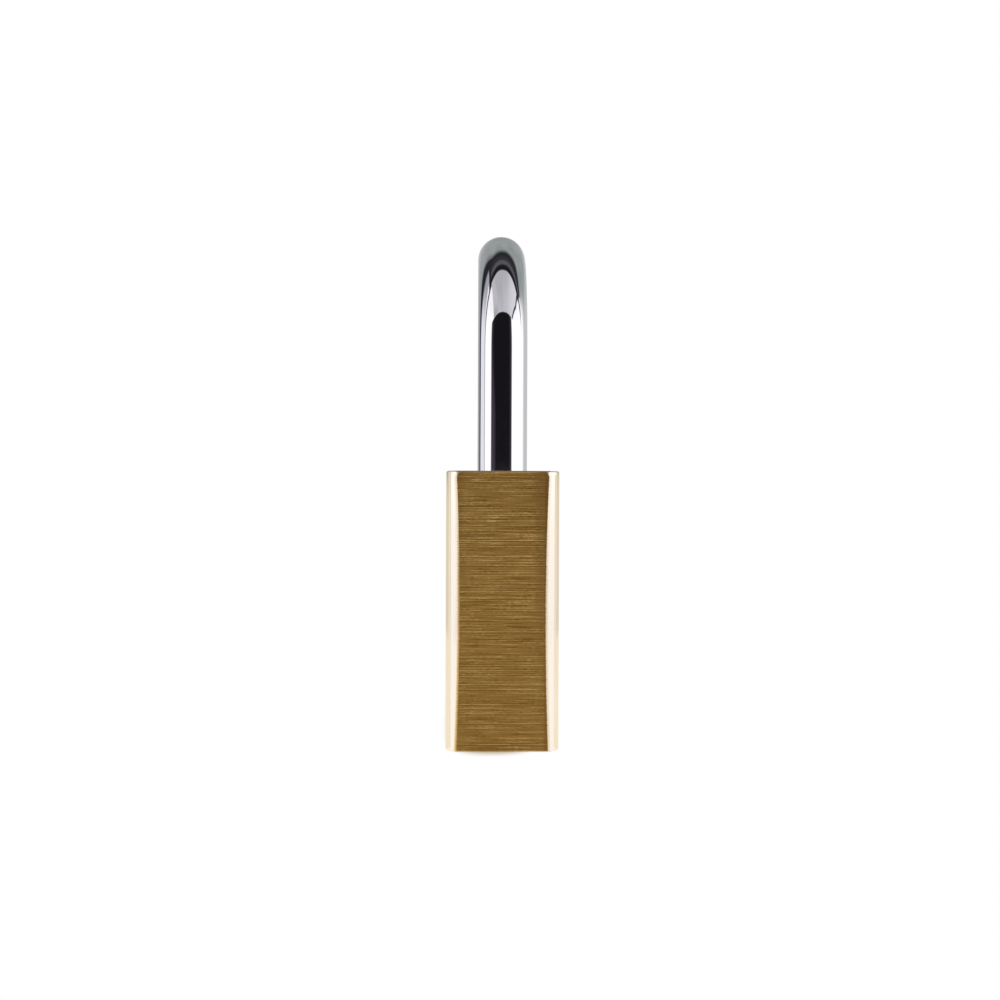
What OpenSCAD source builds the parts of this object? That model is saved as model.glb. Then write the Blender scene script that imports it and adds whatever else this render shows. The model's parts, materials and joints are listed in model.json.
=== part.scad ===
// Solid brass padlock with a bent steel shackle, locked at both legs by two sliding bolts that a
// four-pin lock cylinder drives through a spiral cam. Millimetres, +Z up. The origin is the middle
// of the base. X runs across the width and through both legs, Y runs through the thickness.
// The pose is closed with the cylinder turned, so both bolts are drawn back.

/* [Body] */
// Width of the body over its narrow faces, at mid-height
body_w = 40; // [36:0.5:50]
// Thickness of the body, front to back
body_t = 14.1; // [12.4:0.1:18]
// Height of the body
body_h = 34.6; // [30.3:0.1:41]
// Radius of the four upright edges
corner_r = 2.2; // [1:0.1:3]
// Chamfer along the top and bottom edges
edge_chamfer = 0.15; // [0.1:0.05:0.5]
// Metal sanded off each narrow face at mid-height
dress_mid = 0.08; // [0.02:0.01:0.1]
// Metal sanded off each narrow face at its top and bottom
dress_end = 0.13; // [0.1:0.01:0.25]
// Chamfer at the mouth of each leg hole and of the cylinder hole
mouth_chamfer = 0.3; // [0.1:0.05:0.5]
// Metal between each leg's hole and the narrow face beside it
leg_wall = 3.1; // [2:0.1:4]
// Metal left under the heel leg's hole
heel_floor = 3.5; // [2:0.1:5]
// Room under the toe leg in its hole
toe_room = 0.5; // [0.3:0.1:2]

/* [Shackle] */
// Diameter of the shackle rod
rod_d = 6.35; // [5.6:0.05:6.8]
// Straight length of the legs above the body
leg_rise = 16; // [8:0.1:60]
// Length of the toe leg's end below its notch
toe_foot = 1.25; // [0.8:0.05:2]
// Length of the heel leg's end below its groove
heel_foot = 4; // [2:0.1:5]
// How far the toe leg's end clears the body when the shackle is open
toe_lift = 1; // [0.5:0.1:2]
// Chamfer at the end of each leg
leg_chamfer = 0.6; // [0.2:0.1:0.8]
// Clearance round a leg in its hole
leg_clear = 0.1; // [0.05:0.01:0.2]

/* [Bolts] */
// Diameter of the two bolts
bolt_d = 4.9; // [4:0.1:5.2]
// Depth of the bolts' centre line below the top of the body
bolt_level = 5.2; // [4.6:0.1:5.4]
// How far each bolt slides when the cylinder turns
bolt_travel = 1.2; // [0.9:0.05:1.3]
// How far the drawn heel bolt still reaches into the heel leg
heel_hold = 0.4; // [0.2:0.05:0.5]
// Gap between the drawn toe bolt and the toe leg
toe_gap = 0.1; // [0.05:0.05:0.3]
// Clearance between a bolt and the cut that it enters
nose_clear = 0.1; // [0.05:0.05:0.2]
// Clearance round a bolt in its channel
bolt_clear = 0.05; // [0.02:0.01:0.1]
// Gap between the inner ends of the drawn bolts
bolt_gap = 0.7; // [0.3:0.1:1.2]
// Chamfer at both ends of each bolt
bolt_chamfer = 0.3; // [0.1:0.05:0.5]
// Diameter of the pin that drives each bolt
drive_pin_d = 1.4; // [1:0.1:1.6]
// Depth of a drive pin in its bolt
drive_pin_seat = 3.6; // [2.5:0.1:4]
// Distance of a drive pin from the cylinder's axis when its bolt is drawn
drive_radius = 2.3; // [2:0.1:2.5]
// Clearance round a drive pin in the cam's groove
groove_clear = 0.1; // [0.05:0.01:0.15]

/* [Cylinder] */
// Diameter of the cylinder's plug
plug_d = 10; // [9.4:0.1:10.6]
// Depth of the plug's face behind the base
plug_recess = 0.3; // [0.1:0.1:1]
// Clearance round the plug and the cam in their hole
plug_clear = 0.05; // [0.02:0.01:0.1]
// Thickness of the tang that turns the cam
tang_t = 2; // [1.5:0.1:2.6]
// Width of the tang
tang_w = 6; // [4:0.1:7]
// Height of the tang
tang_h = 1.2; // [0.8:0.1:1.6]
// Clearance round the tang and above and below the cam
cam_clear = 0.1; // [0.05:0.01:0.15]
// Metal in the cam between the tang's slot and the spiral grooves
cam_web = 0.6; // [0.4:0.1:0.8]
// Depth of the two spiral grooves in the cam
groove_h = 1.5; // [1.2:0.1:1.7]
// Metal between the retaining groove and the top of the plug
ring_land = 0.5; // [0.3:0.1:0.8]
// Depth of the retaining groove
ring_depth = 0.8; // [0.5:0.1:0.9]
// Diameter of the plug's retaining pin
ring_pin_d = 1.5; // [1.2:0.1:1.7]
// Clearance of the retaining pin in the groove
ring_clear = 0.1; // [0.05:0.01:0.2]

/* [Keyway] */
// Width of the keyway
keyway_w = 1.9; // [1.5:0.1:2.4]
// Metal between the keyway and the plug's surface on the pins' side
keyway_near_wall = 2.4; // [2:0.1:3]
// Metal between the keyway and the plug's surface on the other side
keyway_far_wall = 0.8; // [0.5:0.1:1.2]
// Metal between the keyway's blind end and the retaining groove
keyway_land = 0.4; // [0.2:0.1:0.8]
// How far each ward stands into the keyway
ward_reach = 0.7; // [0.3:0.1:0.9]
// Width of each ward
ward_w = 0.8; // [0.4:0.1:1]
// Distance between the wards, and from the keyway's far end to the first
ward_gap = 0.8; // [0.5:0.1:1]

/* [Pin tumblers] */
// Height of the first pin above the base
first_pin_z = 3.5; // [2.5:0.1:4]
// Distance from one pin to the next
pin_pitch = 3.6; // [3.3:0.1:4]
// Diameter of the pins
pin_d = 2.9; // [2.4:0.1:3]
// Clearance round a pin in its chamber
pin_clear = 0.05; // [0.02:0.01:0.1]
// Lengths of the four key pins, from the first to the last
key_pin_l = [3.4, 4.2, 3.8, 4.6]; // [3:0.1:5]
// Length of the driver pins
driver_l = 4; // [3:0.1:5]
// Chamfer at both ends of each driver pin
driver_chamfer = 0.2; // [0.1:0.05:0.4]
// Depth of the pin chambers in the plug
chamber_depth = 5.9; // [5.2:0.1:6.2]
// Length of the cone at the inner end of each key pin
pin_tip = 0.6; // [0.3:0.1:1]
// Gap between the pins of a pair, at the plug's surface
shear_gap = 0.05; // [0.02:0.01:0.1]
// Length of the brass seals that close the drilled holes
seal_l = 3; // [2:0.1:4]
// Clearance round a pressed-in seal or pin
press_clear = 0.01; // [0.005:0.005:0.02]

/* [Springs] */
// Wire diameter of the pin springs
pin_wire_d = 0.4; // [0.3:0.05:0.5]
// Distance from one turn of a pin spring to the next
pin_coil_pitch = 1; // [0.8:0.1:1.5]
// Wire diameter of the shackle spring
lift_wire_d = 0.6; // [0.4:0.05:0.8]
// Distance from one turn of the shackle spring to the next
lift_coil_pitch = 1.1; // [0.9:0.1:2]
// Clearance round a spring in its hole
spring_clear = 0.2; // [0.1:0.05:0.3]
// Gap at each end of a spring
spring_gap = 0.05; // [0.02:0.01:0.1]

/* [Hidden] */
$fn = 64;

// How far a cut runs past the face that it opens
over = 1;
// Flats that follow the slow curve of a sanded narrow face
crown_steps = 12;
// Points along one side of a spiral groove
spiral_steps = 12;
// Rings for each turn of a spring, and corners of each ring
coil_steps = 12;
coil_sides = 5;
// Pitch of a spring's closed end turns, in wire diameters
closed_pitch = 1.1;

rod_r = rod_d / 2;
leg_hole_r = rod_r + leg_clear;
leg_x = body_w / 2 - leg_wall - leg_hole_r;
bow_z = body_h + leg_rise;

// The legs' inner sides, and the places of the drawn bolts' noses beside them
leg_side_x = leg_x - rod_r;
toe_nose_x = leg_side_x - toe_gap;
heel_nose_x = leg_side_x + heel_hold;
bolt_z = body_h - bolt_level;
bolt_r = bolt_d / 2;
channel_r = bolt_r + bolt_clear;
cut_h = 2 * (bolt_r + nose_clear);
heel_core_r = leg_x - heel_nose_x - bolt_travel - nose_clear;

// The shackle opens until its toe leg clears the body and its heel groove stands at the heel bolt
toe_end_z = bolt_z - cut_h / 2 - toe_foot;
shackle_travel = body_h - toe_end_z + toe_lift;
heel_groove_z = bolt_z - shackle_travel;
heel_end_z = heel_groove_z - cut_h / 2 - heel_foot;

plug_r = plug_d / 2;
plug_hole_r = plug_r + plug_clear;
cam_h = tang_h + cam_clear + cam_web + groove_h;
cam_r = plug_r - cam_clear;
cam_z = bolt_z - bolt_r - cam_clear - cam_h;
plug_top_z = cam_z - cam_clear;
drive_pin_r = drive_pin_d / 2;
drive_pin_z = cam_z + cam_h - groove_h + cam_clear;
drive_pin_top_z = bolt_z - bolt_r + drive_pin_seat;
plug_hole_top_z = bolt_z - channel_r / 2;
ring_h = ring_pin_d + 2 * ring_clear;
ring_z = plug_top_z - ring_land - ring_h / 2;
keyway_top_z = ring_z - ring_h / 2 - keyway_land;

pin_r = pin_d / 2;
chamber_r = pin_r + pin_clear;
driver_x = plug_r + shear_gap;
seal_x = body_w / 2 - seal_l;

function pin_z(i) = first_pin_z + i * pin_pitch;

// Half the width of the body at height z, over the sanded narrow faces
function crown_x(z) = body_w / 2
    - (dress_end - dress_mid) * pow((z - body_h / 2) / (body_h / 2), 2);

// A point on the spiral that a drive pin follows, from 0 at the drawn end to 1, moved aside by s
function spiral_point(f, s) =
    let (r = drive_radius + bolt_travel * f + s)
    [r * cos(90 * f), r * sin(90 * f)];

// Height of a spring's wire after t turns, with one closed turn at each end
function coil_z(t, turns, l, wire) =
    let (closed = closed_pitch * wire, rise = (l - wire - 2 * closed) / (turns - 2))
    t < 1 ? closed * t : t > turns - 1 ? l - wire - closed * (turns - t)
    : closed + rise * (t - 1);

// A closed spring standing on z = 0, with its wire at radius r
module coil(r, wire, pitch, l) {
    turns = round(l / pitch);
    rings = turns * coil_steps;
    points = [for (i = [0 : rings]) for (j = [0 : coil_sides - 1])
        let (turn = i / coil_steps, a = 360 * turn, b = 360 * j / coil_sides)
        let (reach = r + wire / 2 * cos(b))
        [reach * cos(a), reach * sin(a), coil_z(turn, turns, l, wire) + wire / 2 * (1 + sin(b))]];
    walls = [for (i = [0 : rings - 1]) for (j = [0 : coil_sides - 1])
        let (k = (j + 1) % coil_sides, p = i * coil_sides, q = p + coil_sides)
        each [[p + j, q + j, q + k], [p + j, q + k, p + k]]];
    first = [for (j = [0 : coil_sides - 1]) j];
    last = [for (j = [coil_sides - 1 : -1 : 0]) rings * coil_sides + j];
    polyhedron(points, concat([first], walls, [last]));
}

// A cylinder along X, from x1 to x2, at height z
module along_x(x1, x2, z, r) {
    translate([x1, 0, z])
        rotate([0, 90, 0])
            cylinder(h = x2 - x1, r = r);
}

// A round bar along X with a chamfer at each end
module bar_along_x(x1, x2, z, r, chamfer) {
    translate([x1, 0, z])
        rotate([0, 90, 0])
            chamfered_bar(x2 - x1, r, chamfer);
}

// A round bar standing on z = 0 with a chamfer at each end
module chamfered_bar(l, r, chamfer) {
    rotate_extrude()
        polygon([[0, 0], [r - chamfer, 0], [r, chamfer], [r, l - chamfer], [r - chamfer, l],
            [0, l]]);
}

// A hole from z1 up to z2 with a chamfered mouth at the top
module hole_from_top(z1, z2, r) {
    rotate_extrude()
        polygon([[0, z1], [r, z1], [r, z2 - mouth_chamfer], [r + mouth_chamfer + over, z2 + over],
            [0, z2 + over]]);
}

// The outline of a plate of width w and height body_h, with its edges chamfered
module plate_outline(w) {
    c = edge_chamfer;
    polygon([[c - w / 2, 0], [w / 2 - c, 0], [w / 2, c], [w / 2, body_h - c],
        [w / 2 - c, body_h], [c - w / 2, body_h], [-w / 2, body_h - c], [-w / 2, c]]);
}

// The outline of the body seen from the front, over the sanded narrow faces
module crowned_outline() {
    c = edge_chamfer;
    side = [for (i = [0 : crown_steps])
        let (z = c + (body_h - 2 * c) * i / crown_steps)
        [crown_x(z), z]];
    back = [for (i = [crown_steps : -1 : 0]) [-side[i].x, side[i].y]];
    end_x = crown_x(0) - c;
    polygon(concat([[end_x, 0]], side, [[end_x, body_h], [-end_x, body_h]], back, [[-end_x, 0]]));
}

// The outside of the body, before its holes
module body_blank() {
    blank_w = body_w + 2 * dress_mid;
    intersection() {
        union() {
            rotate([90, 0, 0])
                linear_extrude(height = body_t - 2 * corner_r, center = true)
                    plate_outline(blank_w);
            rotate([90, 0, 90])
                linear_extrude(height = blank_w - 2 * corner_r, center = true)
                    plate_outline(body_t);
            for (x = [-1, 1])
                for (y = [-1, 1])
                    translate([x * (blank_w / 2 - corner_r), y * (body_t / 2 - corner_r), 0])
                        chamfered_bar(body_h, corner_r, edge_chamfer);
        }
        rotate([90, 0, 0])
            linear_extrude(height = body_t + 2 * over, center = true)
                crowned_outline();
    }
}

// A brass seal along X that fills a drilled hole and ends flush with the toe side's narrow face
module seal(z, r, length) {
    intersection() {
        body_blank();
        along_x(-body_w / 2 - over, length - body_w / 2, z, r - press_clear);
    }
}

// What the toe leg's hole takes out of the body
module toe_hole() {
    translate([-leg_x, 0, 0])
        hole_from_top(toe_end_z - toe_room, body_h, leg_hole_r);
}

module body() {
    color("darkgoldenrod")
        difference() {
            body_blank();
            toe_hole();
            translate([leg_x, 0, 0])
                hole_from_top(heel_floor, body_h, leg_hole_r);
            along_x(-body_w / 2 - over, leg_x, bolt_z, channel_r);
            translate([0, 0, -over])
                cylinder(h = plug_hole_top_z + over, r = plug_hole_r);
            translate([0, 0, -over])
                cylinder(h = mouth_chamfer + over, r1 = plug_hole_r + mouth_chamfer + over,
                    r2 = plug_hole_r);
            for (i = [0 : 3])
                along_x(-body_w / 2 - over, -plug_r + over, pin_z(i), chamber_r);
            along_x(-body_w / 2 - over, -plug_r + over, ring_z, ring_pin_d / 2);
        }
}

// One leg of the shackle from its end up to the bow, with a core that reaches into the bow
module leg(end_z) {
    core_r = rod_r / 2;
    rotate_extrude()
        polygon([[0, end_z], [rod_r - leg_chamfer, end_z], [rod_r, end_z + leg_chamfer],
            [rod_r, bow_z], [core_r, bow_z], [core_r, bow_z + core_r], [0, bow_z + core_r]]);
}

// A cut into the inner side of the heel leg, as deep as x and from z1 to z2
module inner_cut(x, z1, z2) {
    translate([leg_side_x - over, -rod_r - over, z1])
        cube([x - leg_side_x + over, 2 * (rod_r + over), z2 - z1]);
}

module shackle() {
    color("gainsboro")
        difference() {
            union() {
                translate([0, 0, bow_z])
                    rotate([90, 0, 0])
                        rotate_extrude(angle = 180)
                            translate([leg_x, 0])
                                circle(r = rod_r);
                translate([leg_x, 0, 0])
                    leg(heel_end_z);
                translate([-leg_x, 0, 0])
                    leg(toe_end_z);
            }
            inner_cut(heel_nose_x + bolt_travel + nose_clear, bolt_z - cut_h / 2,
                bolt_z + cut_h / 2);
            inner_cut(heel_nose_x + nose_clear, heel_groove_z, bolt_z);
            translate([leg_x, 0, heel_groove_z - cut_h / 2])
                difference() {
                    cylinder(h = cut_h, r = rod_r + over);
                    cylinder(h = cut_h, r = heel_core_r);
                }
            mirror([1, 0, 0])
                inner_cut(toe_nose_x + bolt_travel + nose_clear, bolt_z - cut_h / 2,
                    bolt_z + cut_h / 2);
        }
}

module shackle_spring() {
    r = leg_hole_r - spring_clear - lift_wire_d / 2;
    color("lightsteelblue")
        translate([leg_x, 0, heel_floor + spring_gap])
            coil(r, lift_wire_d, lift_coil_pitch, heel_end_z - heel_floor - 2 * spring_gap);
}

// A bolt that points along +X, with the socket of its drive pin underneath
module bolt(nose_x) {
    difference() {
        bar_along_x(bolt_gap / 2, nose_x, bolt_z, bolt_r, bolt_chamfer);
        translate([drive_radius, 0, bolt_z - bolt_r - over])
            cylinder(h = drive_pin_seat + over, r = drive_pin_r);
    }
}

// The pin that carries a bolt, standing in the cam's groove
module drive_pin() {
    translate([drive_radius, 0, drive_pin_z])
        cylinder(h = drive_pin_top_z - drive_pin_z, r = drive_pin_r - press_clear);
}

module toe_bolt() {
    color("silver")
        mirror([1, 0, 0])
            bolt(toe_nose_x);
}

module heel_bolt() {
    color("silver")
        bolt(heel_nose_x);
}

module toe_drive_pin() {
    color("dimgray")
        mirror([1, 0, 0])
            drive_pin();
}

module heel_drive_pin() {
    color("dimgray")
        drive_pin();
}

// The keyway's outline, with the pins' side towards -Y
module keyway_outline() {
    near_y = keyway_near_wall - plug_r;
    far_y = plug_r - keyway_far_wall;
    ward_y = far_y - ward_gap - ward_w;
    difference() {
        translate([-keyway_w / 2, near_y])
            square([keyway_w, far_y - near_y]);
        translate([-keyway_w / 2 - over, ward_y])
            square([ward_reach + over, ward_w]);
        translate([keyway_w / 2 - ward_reach, ward_y - ward_gap - ward_w])
            square([ward_reach + over, ward_w]);
    }
}

module cylinder_plug() {
    color("goldenrod")
        difference() {
            union() {
                translate([0, 0, plug_recess])
                    cylinder(h = plug_top_z - plug_recess, r = plug_r);
                translate([-tang_t / 2, -tang_w / 2, plug_top_z - over])
                    cube([tang_t, tang_w, tang_h + over]);
            }
            linear_extrude(height = keyway_top_z)
                keyway_outline();
            for (i = [0 : 3])
                translate([0, chamber_depth - plug_r, pin_z(i)])
                    rotate([90, 0, 0])
                        cylinder(h = chamber_depth + over, r = chamber_r);
            translate([0, 0, ring_z - ring_h / 2])
                difference() {
                    cylinder(h = ring_h, r = plug_r + over);
                    cylinder(h = ring_h, r = plug_r - ring_depth);
                }
        }
}

// The outline of the groove that pushes a bolt out as the cam turns
module spiral_outline() {
    half = drive_pin_r + groove_clear;
    outer = [for (i = [0 : spiral_steps]) spiral_point(i / spiral_steps, half)];
    inner = [for (i = [spiral_steps : -1 : 0]) spiral_point(i / spiral_steps, -half)];
    polygon(concat(outer, inner));
}

module cam() {
    half = drive_pin_r + groove_clear;
    slot_t = tang_t + 2 * cam_clear;
    slot_w = tang_w + 2 * cam_clear;
    color("peru")
        difference() {
            translate([0, 0, cam_z])
                cylinder(h = cam_h, r = cam_r);
            translate([-slot_t / 2, -slot_w / 2, cam_z - over])
                cube([slot_t, slot_w, tang_h + over]);
            for (turn = [0, 180])
                rotate([0, 0, turn])
                    translate([0, 0, cam_z + cam_h - groove_h]) {
                        linear_extrude(height = groove_h + over)
                            spiral_outline();
                        for (f = [0, 1])
                            translate(spiral_point(f, 0))
                                cylinder(h = groove_h + over, r = half);
                    }
        }
}

module plug_retaining_pin() {
    color("silver")
        along_x(seal_l - body_w / 2, ring_depth - ring_clear - plug_r, ring_z,
            ring_pin_d / 2 - press_clear);
}

module retaining_pin_seal() {
    color("darkgoldenrod")
        seal(ring_z, ring_pin_d / 2, seal_l);
}

module bolt_channel_seal() {
    color("darkgoldenrod")
        difference() {
            seal(bolt_z, channel_r, body_w / 2 - leg_x);
            toe_hole();
        }
}

// A key pin flush with the plug's surface, its cone towards the keyway
module key_pin(i) {
    l = key_pin_l[i];
    color("gold")
        intersection() {
            translate([0, l - plug_r, pin_z(i)])
                rotate([90, 0, 0])
                    rotate_extrude()
                        polygon([[0, 0], [pin_r - pin_tip, 0], [pin_r, pin_tip],
                            [pin_r, l + over], [0, l + over]]);
            cylinder(h = body_h, r = plug_r);
        }
}

module driver_pin(i) {
    color("silver")
        mirror([1, 0, 0])
            bar_along_x(driver_x, driver_x + driver_l, pin_z(i), pin_r, driver_chamfer);
}

module pin_spring(i) {
    x = driver_x + driver_l + spring_gap;
    r = chamber_r - spring_clear - pin_wire_d / 2;
    color("lightsteelblue")
        translate([-x, 0, pin_z(i)])
            rotate([0, -90, 0])
                coil(r, pin_wire_d, pin_coil_pitch, seal_x - spring_gap - x);
}

module chamber_seal(i) {
    color("darkgoldenrod")
        seal(pin_z(i), chamber_r, seal_l);
}

body();
shackle();
shackle_spring();
toe_bolt();
heel_bolt();
toe_drive_pin();
heel_drive_pin();
cylinder_plug();
cam();
plug_retaining_pin();
retaining_pin_seal();
bolt_channel_seal();
key_pin(0);  // key_pin_1
key_pin(1);  // key_pin_2
key_pin(2);  // key_pin_3
key_pin(3);  // key_pin_4
driver_pin(0);  // driver_pin_1
driver_pin(1);  // driver_pin_2
driver_pin(2);  // driver_pin_3
driver_pin(3);  // driver_pin_4
pin_spring(0);  // pin_spring_1
pin_spring(1);  // pin_spring_2
pin_spring(2);  // pin_spring_3
pin_spring(3);  // pin_spring_4
chamber_seal(0);  // chamber_seal_1
chamber_seal(1);  // chamber_seal_2
chamber_seal(2);  // chamber_seal_3
chamber_seal(3);  // chamber_seal_4
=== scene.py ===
import json
import math
from functools import reduce
import bpy
from mathutils import Matrix, Vector


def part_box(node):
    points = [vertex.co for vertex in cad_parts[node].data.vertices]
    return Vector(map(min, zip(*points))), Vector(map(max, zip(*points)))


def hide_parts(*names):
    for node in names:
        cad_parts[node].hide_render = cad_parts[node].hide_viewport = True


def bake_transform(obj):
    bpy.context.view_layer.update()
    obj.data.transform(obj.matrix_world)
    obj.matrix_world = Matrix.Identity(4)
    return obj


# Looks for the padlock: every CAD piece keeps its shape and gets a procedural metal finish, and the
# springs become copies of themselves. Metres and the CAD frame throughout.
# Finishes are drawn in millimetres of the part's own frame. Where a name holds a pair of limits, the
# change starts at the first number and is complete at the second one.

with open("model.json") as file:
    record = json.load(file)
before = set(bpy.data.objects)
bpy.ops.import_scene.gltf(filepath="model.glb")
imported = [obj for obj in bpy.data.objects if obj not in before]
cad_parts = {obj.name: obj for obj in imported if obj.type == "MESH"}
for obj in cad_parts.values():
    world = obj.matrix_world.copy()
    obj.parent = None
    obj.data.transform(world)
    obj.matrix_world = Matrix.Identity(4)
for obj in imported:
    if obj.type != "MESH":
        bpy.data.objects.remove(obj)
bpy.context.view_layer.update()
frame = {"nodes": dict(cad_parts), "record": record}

MM = 0.001
WHITE = (1, 1, 1)

# Camera: level, on the heel side and hardly round towards the front
CAMERA_AZIMUTH = math.radians(88.9)
CAMERA_DISTANCE = 163.5 * MM
CAMERA_HEIGHT = 31 * MM
CAMERA_ROLL = math.radians(0.22)
CAMERA_REACH = 100
LENS = 42.05
SENSOR = 36

# Where a Mix node keeps its factor, its two colours and its mixed colour among its sockets
MIX_FACTOR, MIX_A, MIX_B, MIX_COLOUR = 0, 6, 7, 2

# Noises lie round their mean, and most of each lies in this range
NOISE_MEAN = 0.5
NOISE_RANGE = (0.3, 0.7)
NOISE_ROUGHNESS = 0.55


class Nodes:
    """Adds nodes to one node tree. Sockets and plain numbers can be mixed in every call."""

    def __init__(self, tree):
        self.tree = tree
        tree.nodes.clear()

    def add(self, kind, inputs=(), **settings):
        node = self.tree.nodes.new(kind)
        for name, value in settings.items():
            setattr(node, name, value)
        for key, value in dict(inputs).items():
            self.put(node.inputs[key], value)
        return node

    def put(self, socket, value):
        if isinstance(value, bpy.types.NodeSocket):
            self.tree.links.new(value, socket)
        elif isinstance(value, tuple) and len(value) == 3 and socket.type == "RGBA":
            socket.default_value = (*value, 1)
        else:
            socket.default_value = value

    def calc(self, operation, *values):
        node = self.add("ShaderNodeMath", operation=operation)
        for socket, value in zip(node.inputs, values):
            self.put(socket, value)
        return node.outputs[0]

    def plus(self, a, b):
        return self.calc("ADD", a, b)

    def minus(self, a, b):
        return self.calc("SUBTRACT", a, b)

    def times(self, a, b):
        return self.calc("MULTIPLY", a, b)

    def larger(self, a, b):
        return self.calc("MAXIMUM", a, b)

    def smaller(self, a, b):
        return self.calc("MINIMUM", a, b)

    def absolute(self, a):
        return self.calc("ABSOLUTE", a)

    def degrees(self, radians):
        return self.calc("DEGREES", radians)

    def weighted(self, values, shares):
        """The sum of values, each times its share."""
        return reduce(self.plus, map(self.times, values, shares))

    def map_range(self, node, value, low, high, to_low, to_high):
        """Fills in a Map Range node and gives its result."""
        for key, number in (("Value", value), ("From Min", low), ("From Max", high),
                            ("To Min", to_low), ("To Max", to_high)):
            self.put(node.inputs[key], number)
        return node.outputs["Result"]

    def ramp(self, value, low, high, to_low=0.0, to_high=1.0):
        """A smooth step of value, from to_low at low to to_high at high."""
        node = self.add("ShaderNodeMapRange", interpolation_type="SMOOTHSTEP")
        return self.map_range(node, value, low, high, to_low, to_high)

    def scaled(self, value, low, high, to_low, to_high):
        """A straight line through two points, without limits."""
        node = self.add("ShaderNodeMapRange", clamp=False)
        return self.map_range(node, value, low, high, to_low, to_high)

    def band(self, value, low, high, soft):
        """1 between low and high, with soft edges."""
        rise = self.ramp(value, low - soft / 2, low + soft / 2)
        fall = self.ramp(value, high - soft / 2, high + soft / 2, 1.0, 0.0)
        return self.times(rise, fall)

    def mix(self, share, a, b, blend="MIX"):
        """A colour share of the way from a to b, or another way of blending them."""
        node = self.add("ShaderNodeMix", data_type="RGBA", blend_type=blend)
        self.put(node.inputs[MIX_FACTOR], share)
        self.put(node.inputs[MIX_A], a)
        self.put(node.inputs[MIX_B], b)
        return node.outputs[MIX_COLOUR]

    def blend(self, share, a, b):
        """A number share of the way from a to b."""
        return self.plus(self.times(self.minus(1.0, share), a), self.times(share, b))

    def vector(self, x, y, z):
        return self.add("ShaderNodeCombineXYZ", {"X": x, "Y": y, "Z": z}).outputs[0]

    def parts(self, vector):
        node = self.add("ShaderNodeSeparateXYZ", {0: vector})
        return node.outputs[0], node.outputs[1], node.outputs[2]

    def noise(self, vector, scale=1.0, detail=3.0):
        """A noise from about 0 to 1, around NOISE_MEAN."""
        node = self.add("ShaderNodeTexNoise", {
            "Vector": vector, "Scale": scale, "Detail": detail, "Roughness": NOISE_ROUGHNESS})
        return node.outputs["Fac"]


def make_camera():
    """The photograph's view, level and from the heel side."""
    data = bpy.data.cameras.new("camera")
    data.lens = LENS
    data.sensor_width = SENSOR
    data.clip_start = MM
    data.clip_end = CAMERA_REACH
    camera = bpy.data.objects.new("camera", data)
    bpy.context.scene.collection.objects.link(camera)
    back = Vector((math.sin(CAMERA_AZIMUTH), -math.cos(CAMERA_AZIMUTH), 0))
    right = Vector((-back.y, back.x, 0))
    up = Vector((0, 0, 1))
    turned_right = right * math.cos(CAMERA_ROLL) + up * math.sin(CAMERA_ROLL)
    turned_up = up * math.cos(CAMERA_ROLL) - right * math.sin(CAMERA_ROLL)
    axes = Matrix((turned_right, turned_up, back)).transposed().to_4x4()
    place = back * CAMERA_DISTANCE + up * CAMERA_HEIGHT
    camera.matrix_world = Matrix.Translation(place) @ axes
    bpy.context.scene.camera = camera


# The studio is a box of panels seen from the object. A turn is measured in degrees round from +X,
# negative to the left, over is measured from +X up and over the object, and lean is measured
# sideways from the upright plane through X. A height is the z of a direction, which is 1 straight
# up.

# The white side walls are darker high up. The left one darkens behind its seam. The right one turns
# grey behind its seam when high up, and lower down only towards the back.
WALL = (1.17, 1.16, 1.18)
WALL_HIGH = (1.0, 0.98, 1.02)
WALL_HEIGHTS = (0.36, 0.6)
LEFT_REAR = (0.86, 0.84, 0.93)
LEFT_REAR_HIGH = (0.4, 0.4, 0.46)
LEFT_REAR_HEIGHTS = (0.2, 0.6)
LEFT_REAR_TURNS = (92, 97)
RIGHT_REAR_HEIGHTS = (0.2, 0.5)
RIGHT_REAR_TURNS = (102, 122)
RIGHT_HIGH_HEIGHTS = (0.3, 0.55)
RIGHT_HIGH_PAST_SEAM = (0, 12)
LEFT_TO_RIGHT = (-0.5, 0.5)

# Their seams, left and right, are dark lines that come forward higher up. An edge is where a line
# starts and where it is full, in degrees from its middle. The left seam is weaker low down, and the
# right one isn't there.
SEAM = (0.04, 0.04, 0.055)
SEAM_TURNS = (92.5, 99.8)
SEAM_SLOPES = (19, 28)
LEFT_SEAM_EDGE = (3.8, 1.4)
LEFT_SEAM_HEIGHTS = (0.0, 0.6)
LEFT_SEAM_LOW = 0.6
RIGHT_SEAM_EDGE = (3.4, 1.2)
RIGHT_SEAM_HEIGHTS = (0.2, 0.45)

# The grey back wall, with clouds in it and paler low down
BACK = (0.29, 0.315, 0.32)
BACK_PALE = (0.36, 0.375, 0.37)
BACK_LOW = (0.58, 0.59, 0.6)
BACK_CLOUDS = (0.35, 0.65)
BACK_LOW_PAST_CORNER = (5, 45)
BACK_LOW_HEIGHTS = (0.5, 0.1)

# The dark corner where the left wall meets the back one. It comes forward as it goes up, its line
# widens upwards, and its shade lies on the back wall, high up. The line starts and is full at
# CORNER_EDGE, in shares of its width.
CORNER = (0.02, 0.02, 0.03)
CORNER_TURN = 129
CORNER_SLOPE = 8
CORNER_SIDES = (-1.5, 1.5)
CORNER_HEIGHTS = (0.1, 0.6)
CORNER_WIDTHS = (5.5, 11.0)
CORNER_EDGE = (1.4, 0.5)
CORNER_SHADE = 0.75
CORNER_SHADE_HEIGHTS = (0.3, 0.75)
CORNER_SHADE_WIDTHS = (8.0, 26.0)


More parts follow.
